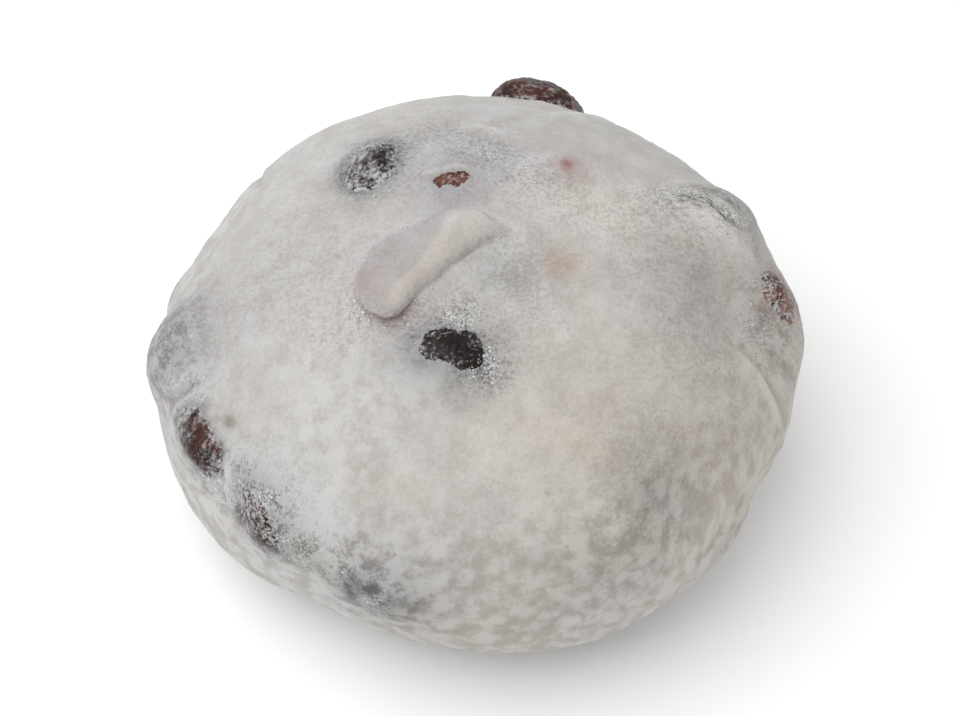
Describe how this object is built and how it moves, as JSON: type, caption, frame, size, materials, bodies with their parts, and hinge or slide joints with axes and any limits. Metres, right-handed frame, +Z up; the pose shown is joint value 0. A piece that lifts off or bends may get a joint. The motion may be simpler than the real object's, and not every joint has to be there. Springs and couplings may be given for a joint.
{
  "type": "mochi rice cake",
  "caption": "Round soft rice cake with whole dark beans pressed under its floured skin and a pinched fold on top.",
  "frame": {"origin": "centre of the flat foot that the cake stands on", "axes": "+Z up from the surface it stands on, +X to the right across its widest extent, -Y towards its front"},
  "size_m": [0.0626, 0.0601, 0.0362],
  "materials": {
    "rice_skin": "soft translucent rice dough under white starch, matt",
    "bean_hull": "dark red-brown cooked bean hull, satin, dusted with starch"
  },
  "bodies": {
    "root": {"rice_cake": "rice_skin", "bean_back": "bean_hull", "bean_upper_left": "bean_hull", "bean_slit": "bean_hull", "bean_centre": "bean_hull", "bean_left": "bean_hull", "bean_lower_left": "bean_hull", "bean_front": "bean_hull", "bean_right": "bean_hull", "bean_rear": "bean_hull", "bean_rear_right": "bean_hull"}
  },
  "joints": []
}
